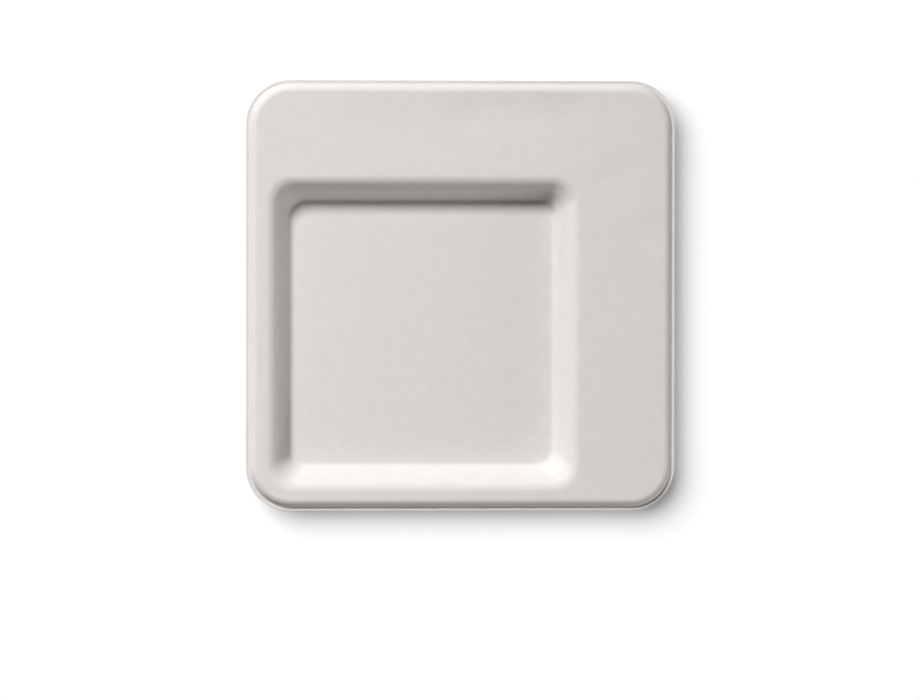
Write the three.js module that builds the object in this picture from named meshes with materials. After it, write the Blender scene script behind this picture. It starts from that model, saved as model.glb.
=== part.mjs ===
// A square plate of moulded pulp, pressed from one sheet of even thickness.
// A shallow square well sits towards one corner of the plate, so the flat rim is narrow on
// two sides and wide enough to serve on along the other two. The outer edge slopes down to
// a thin trimmed lip. The plate stands on the underside of its well.
//
// Millimetres, +Z up. The origin is on the table, under the middle of the plate's outline,
// and the well lies towards -X and -Y.

import * as THREE from "three";

// Sheet and outline
const side = 260; // across the trimmed lip
const cornerRadius = 27; // plan radius of the outline's corners
const height = 19; // table to the top of the rim
const sheet = 0.9; // thickness of the pressed pulp

// Sloping edge
const lipWidth = 2.1; // margin left by the trimming, outside the slope
const lipRise = 0.3; // trimmed edge above the foot of the slope
const edgeDrop = 4.2; // top of the rim down to the foot of the slope
const edgeSlope = 58; // degrees from level
const lipBend = 1.2; // inner radius between lip and slope
const rimBend = 3.2; // inner radius between slope and rim

// Flat rim, from the sloping edge to the mouth of the well
const narrowRim = 4.65; // on the left and at the front
const wideRim = 50.4; // on the right and at the back

// Well, whose wall opens out above a gentle knee
const upperDraft = 39; // degrees from upright, above the knee
const lowerDraft = 28; // below the knee
const kneeDrop = 7; // top of the rim down to the knee
const mouthBend = 6.3; // inner radius between rim and wall
const kneeBend = 21.5; // inner radius of the knee
const floorBend = 3; // inner radius between wall and floor
const mouthCorner = 14; // plan radius of the mouth's corners
const floorCorner = 10; // plan radius of the floor's corners

// Facets
const bendSteps = 6; // along each bend of the section
const cornerSteps = 12; // round each corner of the plan

const upright = new THREE.Vector2(0, 1);
const radians = THREE.MathUtils.degToRad;

// A bend turns the sheet by an angle. The radius on its inner side is given, so its outer
// side is one sheet thicker. The length is from the sharp corner to where the bend starts.
const outerRadius = (innerRadius) => innerRadius + sheet;
const bendLength = (radius, turn) => radius * Math.tan(turn / 2);

// The section of the top face through a row of corners, each { inset, z, radius }, where
// inset runs inwards from an outline. It gives points with the face's normal, which is
// upright at both ends: the start, the arc of each bend and the end.
function topSection(corners) {
  const at = corners.map(({ inset, z }) => new THREE.Vector2(inset, z));
  const section = [{ point: at[0], normal: upright }];
  for (let i = 1; i < corners.length - 1; i += 1) {
    const before = at[i].clone().sub(at[i - 1]).normalize();
    const after = at[i + 1].clone().sub(at[i]).normalize();
    const turn = Math.atan2(before.cross(after), before.dot(after));
    const { radius } = corners[i];
    const start = at[i].clone().addScaledVector(before, -bendLength(radius, Math.abs(turn)));
    const toTop = new THREE.Vector2(-before.y, before.x);
    const centre = start.clone().addScaledVector(toTop, radius * Math.sign(turn));
    for (let step = 0; step <= bendSteps; step += 1) {
      const normal = toTop.clone().rotateAround(new THREE.Vector2(), (turn * step) / bendSteps);
      const point = centre.clone().addScaledVector(normal, -radius * Math.sign(turn));
      section.push({ point, normal });
    }
  }
  section.push({ point: at.at(-1), normal: upright });
  return section;
}

// The points of a level rounded square, anticlockwise from above, centred at the same
// distance along X and Y.
function roundedSquare(centre, half, radius, z) {
  const ring = [];
  for (let corner = 0; corner < 4; corner += 1) {
    const middle = ((corner + 0.5) * Math.PI) / 2;
    const x = centre + (half - radius) * Math.sign(Math.cos(middle));
    const y = centre + (half - radius) * Math.sign(Math.sin(middle));
    for (let step = 0; step <= cornerSteps; step += 1) {
      const angle = ((corner + step / cornerSteps) * Math.PI) / 2;
      ring.push(new THREE.Vector3(x + radius * Math.cos(angle), y + radius * Math.sin(angle), z));
    }
  }
  return ring;
}

// One section carried round a rounded square, at a depth below the top face. The plan
// radius runs evenly from the outline's to that of the innermost ring.
function sectionRings(section, depth, centre, half, outlineCorner, innerCorner) {
  const run = section.at(-1).point.x;
  return section.map(({ point, normal }) => {
    const inset = point.x - depth * normal.x;
    const topCorner = THREE.MathUtils.lerp(outlineCorner, innerCorner, point.x / run);
    const corner = topCorner + point.x - inset;
    return roundedSquare(centre, half - inset, corner, point.y - depth * normal.y);
  });
}

// Sloping edge, from the trimmed lip up to the rim.
const edgeTurn = radians(edgeSlope);
const edgeTop = lipWidth + edgeDrop / Math.tan(edgeTurn);
const edgeWidth = edgeTop + bendLength(outerRadius(rimBend), edgeTurn);
const edgeSection = topSection([
  { inset: 0, z: height - edgeDrop + lipRise },
  { inset: lipWidth, z: height - edgeDrop, radius: lipBend },
  { inset: edgeTop, z: height, radius: outerRadius(rimBend) },
  { inset: edgeWidth, z: height },
]);

// Well, from its mouth in the rim down to its floor.
const wallTop = bendLength(outerRadius(mouthBend), radians(90 - upperDraft));
const knee = wallTop + kneeDrop * Math.tan(radians(upperDraft));
const wallFoot = knee + (height - sheet - kneeDrop) * Math.tan(radians(lowerDraft));
const wellRun = wallFoot + bendLength(floorBend, radians(90 - lowerDraft));
const wellSection = topSection([
  { inset: 0, z: height },
  { inset: wallTop, z: height, radius: outerRadius(mouthBend) },
  { inset: knee, z: height - kneeDrop, radius: outerRadius(kneeBend) },
  { inset: wallFoot, z: sheet, radius: floorBend },
  { inset: wellRun, z: sheet },
]);
const wellCentre = (narrowRim - wideRim) / 2;
const mouthHalf = side / 2 - edgeWidth - (narrowRim + wideRim) / 2;

// The rings of one face of the sheet, from the trimmed lip to the floor of the well. The
// flat rim lies between the last ring of the edge and the first ring of the well.
function faceRings(depth) {
  return [
    ...sectionRings(edgeSection, depth, 0, side / 2, cornerRadius, cornerRadius - edgeWidth),
    ...sectionRings(wellSection, depth, wellCentre, mouthHalf, mouthCorner, floorCorner),
  ];
}

// A closed skin over a row of rings, with its first and last rings filled in.
function skin(rings) {
  const count = rings[0].length;
  const index = [];
  for (let ring = 0; ring + 1 < rings.length; ring += 1) {
    for (let i = 0; i < count; i += 1) {
      const a = ring * count + i;
      const b = ring * count + ((i + 1) % count);
      index.push(a, b, b + count, a, b + count, a + count);
    }
  }
  const lastRing = (rings.length - 1) * count;
  for (const [a, b, c] of THREE.ShapeUtils.triangulateShape(rings[0], [])) {
    index.push(a, c, b);
  }
  for (const [a, b, c] of THREE.ShapeUtils.triangulateShape(rings.at(-1), [])) {
    index.push(lastRing + a, lastRing + b, lastRing + c);
  }
  const geometry = new THREE.BufferGeometry().setFromPoints(rings.flat());
  geometry.setIndex(index);
  geometry.computeVertexNormals();
  return geometry;
}

const pulp = new THREE.MeshStandardMaterial({ color: 0xd9d5d2, roughness: 0.85, metalness: 0 });

// The skin runs from the underside of the floor out to the lip, and back in over the top.
const plate = new THREE.Mesh(skin([...faceRings(sheet).reverse(), ...faceRings(0)]), pulp);
plate.name = "plate";

const part = new THREE.Group();
part.add(plate);

export default part;
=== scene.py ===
import math

import bmesh
import bpy
from mathutils import Matrix, Vector


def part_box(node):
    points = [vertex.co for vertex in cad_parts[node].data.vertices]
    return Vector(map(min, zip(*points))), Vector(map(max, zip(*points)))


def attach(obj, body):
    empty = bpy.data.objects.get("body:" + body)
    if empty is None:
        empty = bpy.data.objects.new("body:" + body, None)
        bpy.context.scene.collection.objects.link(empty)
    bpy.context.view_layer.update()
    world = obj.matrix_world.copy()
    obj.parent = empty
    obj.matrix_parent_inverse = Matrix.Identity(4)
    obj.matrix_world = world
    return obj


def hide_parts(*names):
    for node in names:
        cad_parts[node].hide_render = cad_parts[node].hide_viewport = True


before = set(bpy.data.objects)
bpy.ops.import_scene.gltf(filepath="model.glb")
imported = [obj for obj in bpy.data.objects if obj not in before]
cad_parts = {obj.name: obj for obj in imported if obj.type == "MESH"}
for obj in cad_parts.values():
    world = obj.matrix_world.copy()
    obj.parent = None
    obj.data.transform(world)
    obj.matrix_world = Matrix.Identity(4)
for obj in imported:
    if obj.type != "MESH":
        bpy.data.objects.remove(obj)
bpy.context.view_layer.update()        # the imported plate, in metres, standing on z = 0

mm = 0.001
plateLow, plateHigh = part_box("plate")
side = plateHigh.x - plateLow.x      # across the trimmed lip
height = plateHigh.z - plateLow.z    # table to the top of the rim
print("frame loaded, plate", round(side / mm, 1), "mm square,", round(height / mm, 1), "mm high")


def linear(hexColour):    # sRGB hex to the linear colour that a shader takes
    parts = [int(hexColour[i:i + 2], 16) / 255 for i in (1, 3, 5)]
    return [c / 12.92 if c <= 0.04045 else ((c + 0.055) / 1.055) ** 2.4 for c in parts] + [1]


def addNode(tree, kind, settings=None, inputs=None):    # an input is a socket to link or a value
    node = tree.nodes.new(kind)
    for name, value in (settings or {}).items():
        setattr(node, name, value)
    for name, value in (inputs or {}).items():
        if isinstance(value, bpy.types.NodeSocket):
            tree.links.new(value, node.inputs[name])
        else:
            node.inputs[name].default_value = value
    return node


# Plate: one pressed sheet, drawn as rings of edges from the lip in to the floor of the well

plate = {
    "cornerRadius": 27 * mm,            # plan radius of the outline's corners
    "sheet": 0.9 * mm,                  # thickness of the pressed pulp
    "lipWidth": 2.1 * mm,               # margin left by the trimming, outside the slope
    "lipRise": 0.3 * mm,                # trimmed edge above the foot of the slope
    "edgeDrop": 4.2 * mm,               # top of the rim down to the foot of the slope
    "edgeSlope": math.radians(58),      # from level
    "lipBend": 1.2 * mm,                # radii of the five bends, on the top face
    "rimBend": 4.1 * mm,
    "mouthBend": 7.2 * mm,
    "kneeBend": 22.4 * mm,
    "floorBend": 3 * mm,
    "narrowRim": 4.65 * mm,             # flat rim on the left and at the front
    "wideRim": 50.4 * mm,               # flat rim on the right and at the back
    "upperDraft": math.radians(39),     # of the wall from upright, above its knee
    "lowerDraft": math.radians(28),     # and below it
    "kneeDrop": 7 * mm,                 # top of the rim down to the knee
    "mouthCorner": 14 * mm,             # plan radius where the rim bends into the well
    "floorCorner": 10 * mm,             # plan radius where the floor turns flat
    "trimRound": 0.2 * mm,              # broken edges of the trimmed lip
    "trimSteps": 2,                     # facets across a broken edge
    "trimAngle": math.radians(60),      # only edges sharper than this are broken
    "smoothAngle": math.radians(25),    # shaded smooth below this
    "spare": 0.5 * mm,                  # flat strip kept beside a bend
    "cornerSteps": 16,                  # facets round a corner
    "sideCuts": 43,                     # cuts along a straight side
    "bendSteps": 8,                     # facets across a bend
    "rimCuts": 20,                      # cuts across the flat rim
    "fit": 0.05 * mm,                   # how closely an edge lies on the ring that it is picked by
    "merge": 0.01 * mm,                 # points nearer than this become one
    "sagCore": 3 * mm,                  # half width of the strip that a sag pushes as one
    "sags": [                           # where the wide rim has given way, along X at one Y
        {"x": (-50 * mm, 75 * mm), "y": 102 * mm, "depth": 0.6 * mm, "reach": 30 * mm},
        {"x": (10 * mm, 65 * mm), "y": 112 * mm, "depth": 0.7 * mm, "reach": 18 * mm},
        {"x": (93 * mm, 93 * mm), "y": 71 * mm, "depth": 0.7 * mm, "reach": 18 * mm},
        {"x": (112 * mm, 112 * mm), "y": 35 * mm, "depth": 0.4 * mm, "reach": 15 * mm},
    ],
}


def editMesh():
    return bmesh.from_edit_mesh(bpy.context.edit_object.data)


def pickEdges(test):
    bpy.ops.mesh.select_mode(type="EDGE")
    bpy.ops.mesh.select_all(action="DESELECT")
    for edge in editMesh().edges:
        edge.select_set(bool(test(edge)))


def onRing(edge, centre, half, radius, z):    # both ends lie on that rounded square
    for vert in edge.verts:
        x = abs(vert.co.x - centre) - (half - radius)
        y = abs(vert.co.y - centre) - (half - radius)
        reach = math.hypot(max(x, 0), max(y, 0)) + min(max(x, y), 0)
        if abs(reach - radius) > plate["fit"] or abs(vert.co.z - z) > plate["fit"]:
            return False
    return True


def addRing(ring, z):
    centre, half, radius = ring[:3]
    bpy.ops.mesh.primitive_plane_add(size=2 * half, location=(centre, centre, z))
    bpy.ops.mesh.bevel(affect="VERTICES", offset=radius, segments=plate["cornerSteps"])
    bpy.ops.mesh.delete(type="ONLY_FACE")
    nearlyStraight = 0.9 * 2 * (half - radius)    # only the four sides are longer than this
    pickEdges(lambda e: onRing(e, centre, half, radius, z) and e.calc_length() > nearlyStraight)
    bpy.ops.mesh.subdivide(number_cuts=plate["sideCuts"])


def bridgeRings(rings, cuts):    # stacked far apart, so that they join without a twist, then set level
    gap = 30 * mm
    places = [-gap * (i + 1) for i in range(len(rings))]
    for ring, z in zip(rings, places):
        addRing(ring, z)
    for i in range(len(rings) - 1):
        pickEdges(lambda e: all(min(abs(v.co.z - z) for z in places[i:i + 2]) < mm for v in e.verts))
        bpy.ops.mesh.bridge_edge_loops(number_cuts=cuts.get(i, 0), interpolation="LINEAR")
    for ring, z in reversed(list(zip(rings, places))):
        pickEdges(lambda e: all(v.co.z < z + gap / 2 for v in e.verts))
        bpy.ops.transform.resize(value=(1, 1, 0), center_override=(0, 0, ring[3]))


def bendRing(ring, length):
    pickEdges(lambda e: onRing(e, *ring))
    bpy.ops.mesh.bevel(affect="EDGES", offset=length, segments=plate["bendSteps"], profile=0.5)


def sagRim(sag):    # one soft push, that fades out over its reach
    bpy.ops.mesh.select_mode(type="VERT")
    bpy.ops.mesh.select_all(action="DESELECT")
    for vert in editMesh().verts:
        past = max(sag["x"][0] - vert.co.x, vert.co.x - sag["x"][1], 0)
        vert.select_set(math.hypot(past, vert.co.y - sag["y"]) < plate["sagCore"])
    bpy.ops.transform.translate(
        value=(0, 0, -sag["depth"]), use_proportional_edit=True,
        proportional_edit_falloff="SMOOTH", proportional_size=sag["reach"])


def makePlate():
    p = plate
    edgeTurn = p["edgeSlope"]
    lipTurn = edgeTurn + math.atan2(p["lipRise"], p["lipWidth"])
    mouthTurn = math.radians(90) - p["upperDraft"]
    kneeTurn = p["upperDraft"] - p["lowerDraft"]
    floorTurn = math.radians(90) - p["lowerDraft"]
    bends = {                                    # sharp corner to where each bend starts
        "lip": p["lipBend"] * math.tan(lipTurn / 2),
        "rim": p["rimBend"] * math.tan(edgeTurn / 2),
        "mouth": p["mouthBend"] * math.tan(mouthTurn / 2),
        "knee": p["kneeBend"] * math.tan(kneeTurn / 2),
        "floor": p["floorBend"] * math.tan(floorTurn / 2),
    }
    lipTop = height - p["edgeDrop"]
    slopeTop = p["lipWidth"] + p["edgeDrop"] / math.tan(edgeTurn)
    edgeWidth = slopeTop + bends["rim"]
    wellCentre = (p["narrowRim"] - p["wideRim"]) / 2
    mouthHalf = side / 2 - edgeWidth - (p["narrowRim"] + p["wideRim"]) / 2
    knee = bends["mouth"] + p["kneeDrop"] * math.tan(p["upperDraft"])
    wallFoot = knee + (height - p["sheet"] - p["kneeDrop"]) * math.tan(p["lowerDraft"])
    wellRun = wallFoot + bends["floor"]

    def edgeRing(inset, z):
        return 0, side / 2 - inset, p["cornerRadius"] - inset, z

    def wellRing(inset, z):
        share = inset / wellRun
        corner = p["mouthCorner"] + share * (p["floorCorner"] - p["mouthCorner"])
        return wellCentre, mouthHalf - inset, corner, z

    lip = edgeRing(0, lipTop + p["lipRise"])
    lipFoot = edgeRing(p["lipWidth"], lipTop)
    rimEdge = edgeRing(slopeTop, height)
    rimStart = edgeRing(edgeWidth + p["spare"], height)
    mouthStart = wellRing(-p["spare"], height)
    mouthEdge = wellRing(bends["mouth"], height)
    kneeEdge = wellRing(knee, height - p["kneeDrop"])
    floorEdge = wellRing(wallFoot, p["sheet"])
    floorStart = wellRing(wellRun + p["spare"], p["sheet"])

    bpy.ops.object.select_all(action="DESELECT")
    bpy.ops.mesh.primitive_plane_add(size=side)
    piece = bpy.context.object
    piece.name = piece.data.name = "pulp_plate"
    bpy.ops.object.mode_set(mode="EDIT")
    bpy.ops.mesh.delete(type="VERT")             # the rings below take the plane's place
    rings = [lip, lipFoot, rimEdge, rimStart, mouthStart, mouthEdge, kneeEdge, floorEdge, floorStart]
    bridgeRings(rings, {rings.index(rimStart): p["rimCuts"]})
    bendRing(lipFoot, bends["lip"])
    bendRing(rimEdge, bends["rim"])
    bendRing(mouthEdge, bends["mouth"])
    bendRing(kneeEdge, bends["knee"])
    bendRing(floorEdge, bends["floor"])
    pickEdges(lambda e: onRing(e, *floorStart))
    bpy.ops.mesh.fill_grid(span=p["sideCuts"] + 1 + p["cornerSteps"])
    bpy.ops.mesh.select_all(action="SELECT")
    bpy.ops.mesh.remove_doubles(threshold=p["merge"])
    bpy.ops.mesh.normals_make_consistent(inside=False)
    if sum(face.normal.z * face.calc_area() for face in editMesh().faces) < 0:
        bpy.ops.mesh.flip_normals()              # the food side faces up
    for sag in p["sags"]:
        sagRim(sag)
    bpy.ops.object.mode_set(mode="OBJECT")
    return piece


def thicken(piece):
    bpy.context.view_layer.objects.active = piece
    wall = piece.modifiers.new("sheet", "SOLIDIFY")
    wall.thickness = plate["sheet"]
    wall.offset = -1                             # downwards, from the food side
    wall.use_even_offset = True
    wall.material_offset = 1                     # the underside is the wire side
    bpy.ops.object.modifier_apply(modifier=wall.name)
    trim = piece.modifiers.new("trim", "BEVEL")
    trim.width = plate["trimRound"]
    trim.segments = plate["trimSteps"]
    trim.limit_method = "ANGLE"
    trim.angle_limit = plate["trimAngle"]
    bpy.ops.object.modifier_apply(modifier=trim.name)
    bpy.ops.object.shade_smooth_by_angle(angle=plate["smoothAngle"])


pulpPlate = makePlate()
print("plate shaped,", len(pulpPlate.data.polygons), "faces on one side")


# Moulded pulp: cane and wood fibre drawn onto a wire mesh and pressed hot, so it is matt all over,
# clouded where the fibres lie thick or thin, smooth on the food side and wire-marked underneath

pulp = {
    "colour": "#DFDAD7",
    "roughness": 0.86,
    "ior": 1.47,                    # cellulose
    "gloss": 0.15,                  # open fibres throw back less than a polished face
    "cloud": 7 * mm,                # fibre clouds
    "cloudTone": (0.975, 1.015),    # from thin to thick
    "grain": 0.9 * mm,              # fibre bundles, a little coarser than the real ones so that they show
    "grainDepth": 0.02 * mm,
    "wirePitch": 2.3 * mm,          # forming wire, as in the lines on the outside of the well
    "wireDepth": 0.1 * mm,          # from the lowest to the highest point of the mesh
}


def pulpMaterial(name, wireSide):
    material = bpy.data.materials.new(name)
    material.use_nodes = True
    tree = material.node_tree
    tree.nodes.clear()
    place = addNode(tree, "ShaderNodeTexCoord").outputs["Object"]
    cloud = addNode(tree, "ShaderNodeTexNoise", inputs={
        "Vector": place, "Scale": 1 / pulp["cloud"], "Detail": 4, "Roughness": 0.55})
    thin, thick = pulp["cloudTone"]
    tone = addNode(tree, "ShaderNodeMapRange", inputs={
        "Value": cloud.outputs["Fac"], "From Min": 0.3, "From Max": 0.7, "To Min": thin, "To Max": thick})
    colour = addNode(tree, "ShaderNodeMix", {"data_type": "RGBA", "blend_type": "MULTIPLY"}, {
        "Factor": 1, 6: linear(pulp["colour"]), 7: tone.outputs["Result"]})
    grain = addNode(tree, "ShaderNodeTexNoise", inputs={
        "Vector": place, "Scale": 1 / pulp["grain"], "Detail": 3, "Roughness": 0.6})
    bump = addNode(tree, "ShaderNodeBump", inputs={
        "Height": grain.outputs["Fac"], "Strength": 1, "Distance": pulp["grainDepth"]})
    if wireSide:
        wire = addNode(tree, "ShaderNodeSeparateXYZ", inputs={"Vector": place})
        turns = 2 * math.pi / pulp["wirePitch"]
        waves = []
        for axis in ("X", "Y"):
            phase = addNode(tree, "ShaderNodeMath", {"operation": "MULTIPLY"},
                            {0: wire.outputs[axis], 1: turns})
            waves.append(addNode(tree, "ShaderNodeMath", {"operation": "SINE"}, {0: phase.outputs[0]}))
        mesh = addNode(tree, "ShaderNodeMath", {"operation": "ADD"},
                       {0: waves[0].outputs[0], 1: waves[1].outputs[0]})
        bump = addNode(tree, "ShaderNodeBump", inputs={
            "Height": mesh.outputs[0], "Strength": 1,
            "Distance": pulp["wireDepth"] / 4,    # the two waves together run from -2 to 2
            "Normal": bump.outputs["Normal"]})
    shader = addNode(tree, "ShaderNodeBsdfPrincipled", inputs={
        "Base Color": colour.outputs[2], "Roughness": pulp["roughness"], "IOR": pulp["ior"],
        "Specular IOR Level": pulp["gloss"], "Normal": bump.outputs["Normal"]})
    addNode(tree, "ShaderNodeOutputMaterial", inputs={"Surface": shader.outputs["BSDF"]})
    return material


pulpPlate.data.materials.append(pulpMaterial("moulded pulp food side", False))
pulpPlate.data.materials.append(pulpMaterial("moulded pulp wire side", True))
thicken(pulpPlate)
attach(pulpPlate, "root")
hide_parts("plate")
print("pulp pressed and finished,", len(pulpPlate.data.polygons), "faces")


# Floor, light and camera

floor = {
    "size": 24,                                  # metres, past the edge of any view
    "drop": 0.05 * mm,                           # clear of the plate's underside
    "colour": "#E6E6E6",
    "lift": 0.17,                                # glow that keeps the shadow pale
}


def seenRays(tree):    # 1 where a ray shows the background, straight on, mirrored or through glass
    ray = addNode(tree, "ShaderNodeLightPath")
    seen = addNode(tree, "ShaderNodeMath", {"operation": "ADD"},
                   {0: ray.outputs["Is Camera Ray"], 1: ray.outputs["Is Glossy Ray"]})
    seen = addNode(tree, "ShaderNodeMath", {"operation": "ADD", "use_clamp": True},
                   {0: seen.outputs[0], 1: ray.outputs["Is Transmission Ray"]})
    return seen.outputs[0]


bpy.ops.object.select_all(action="DESELECT")
bpy.ops.mesh.primitive_plane_add(size=floor["size"], location=(0, 0, -floor["drop"]))
table = bpy.context.object
table.name = "floor"
paper = bpy.data.materials.new("white paper floor")
paper.use_nodes = True
tree = paper.node_tree
tree.nodes.clear()
diffuse = addNode(tree, "ShaderNodeBsdfDiffuse", inputs={"Color": linear(floor["colour"])})
glow = addNode(tree, "ShaderNodeEmission", inputs={"Strength": floor["lift"]})
both = addNode(tree, "ShaderNodeAddShader", inputs={0: diffuse.outputs[0], 1: glow.outputs[0]})
clear = addNode(tree, "ShaderNodeBsdfTransparent")
under = addNode(tree, "ShaderNodeNewGeometry").outputs["Backfacing"]    # open to a look from below
top = addNode(tree, "ShaderNodeMixShader", inputs={0: under, 1: both.outputs[0], 2: clear.outputs[0]})
addNode(tree, "ShaderNodeOutputMaterial", inputs={"Surface": top.outputs[0]})
table.data.materials.append(paper)
table.visible_diffuse = False    # the room below stands for the light that the floor throws back
table.visible_shadow = False

plateLamps = {    # in degrees up, and round from +Y towards -X, in metres and in watts
    "softbox": {"up": 41, "round": 36.5, "distance": 3, "aim": (0, -0.6),
                "size": (0.85, 0.85), "watts": 19.5, "spread": 72},
    "reflector": {"up": 12, "round": 231, "distance": 3, "aim": (0, 0),
                  "size": (5.4, 1.2), "watts": 43, "spread": 180},
}
floorLamp = {"up": 51, "round": 51, "distance": 3, "aim": (0, 0), "strength": 4.15, "angle": 58}


def addLamp(kind, name, lamp, target):    # it lights that piece alone
    up = math.radians(lamp["up"])
    around = math.radians(lamp["round"])
    place = Vector((-math.sin(around) * math.cos(up), math.cos(around) * math.cos(up), math.sin(up)))
    place *= lamp["distance"]
    bpy.ops.object.light_add(type=kind, location=place)
    light = bpy.context.object
    light.name = name
    light.rotation_euler = (Vector((*lamp["aim"], 0)) - place).to_track_quat("-Z", "Y").to_euler()
    lit = bpy.data.collections.new("lit by " + name)
    lit.objects.link(target)
    light.light_linking.receiver_collection = lit
    return light.data


for name, lamp in plateLamps.items():
    light = addLamp("AREA", name, lamp, pulpPlate)
    light.shape = "ELLIPSE"
    light.size, light.size_y = lamp["size"]
    light.energy = lamp["watts"]
    light.spread = math.radians(lamp["spread"])

light = addLamp("SUN", "floor lamp", floorLamp, table)
light.energy = floorLamp["strength"]
light.angle = math.radians(floorLamp["angle"])

world = {    # a light room under a dark ceiling
    "colour": "#FFFFFF",
    "left": 0.3, "right": 0.8,                   # below the horizon, towards -X and +X
    "horizon": 0.136, "zenith": 0,
    "seen": 1,                                   # as a plain white background
}

scene = bpy.context.scene
scene.world = bpy.data.worlds.new("studio")
scene.world.use_nodes = True
tree = scene.world.node_tree
tree.nodes.clear()
direction = addNode(tree, "ShaderNodeTexCoord").outputs["Generated"]
rise = addNode(tree, "ShaderNodeSeparateXYZ", inputs={"Vector": direction})
ceiling = addNode(tree, "ShaderNodeMapRange", inputs={
    "Value": rise.outputs["Z"], "To Min": world["horizon"], "To Max": world["zenith"]})
bounce = addNode(tree, "ShaderNodeMapRange", inputs={
    "Value": rise.outputs["X"], "From Min": -1, "To Min": world["left"], "To Max": world["right"]})
below = addNode(tree, "ShaderNodeMath", {"operation": "LESS_THAN"}, {0: rise.outputs["Z"], 1: 0})
room = addNode(tree, "ShaderNodeMix", {"data_type": "FLOAT"}, {
    0: below.outputs[0], 2: ceiling.outputs["Result"], 3: bounce.outputs["Result"]})
strength = addNode(tree, "ShaderNodeMix", {"data_type": "FLOAT"}, {
    0: seenRays(tree), 2: room.outputs[0], 3: world["seen"]})
sky = addNode(tree, "ShaderNodeBackground", inputs={
    "Color": linear(world["colour"]), "Strength": strength.outputs[0]})
addNode(tree, "ShaderNodeOutputWorld", inputs={"Surface": sky.outputs[0]})

photo = {
    "wide": 920,                                 # the photograph's frame, in pixels
    "pixelsPerMm": 1.6547,                       # on the rim
    "aim": (-0.78 * mm, -32.8 * mm),             # the middle of the frame, on the rim's plane
    "distance": 4,                               # a long lens, with hardly any perspective
    "leanLeft": math.radians(4.3),               # camera off plumb, towards -X
    "leanBack": math.radians(1.0),               # and towards +Y
    "roll": math.radians(0.08),
    "sensor": 36,                                # across, in millimetres
    "farthest": 20,                              # metres that the camera sees
}

turn = Matrix.Rotation(photo["roll"], 3, "Z")
turn = turn @ Matrix.Rotation(-photo["leanLeft"], 3, "Y") @ Matrix.Rotation(-photo["leanBack"], 3, "X")
aim = Vector((*photo["aim"], height))
bpy.ops.object.camera_add(location=aim + turn @ Vector((0, 0, photo["distance"])))
camera = bpy.context.object
camera.rotation_euler = turn.to_euler()
camera.data.sensor_width = photo["sensor"]
camera.data.lens = photo["sensor"] * photo["distance"] * photo["pixelsPerMm"] / mm / photo["wide"]
camera.data.clip_end = photo["farthest"]
scene.camera = camera
scene.view_settings.view_transform = "Standard"
print("stage, light and camera set")
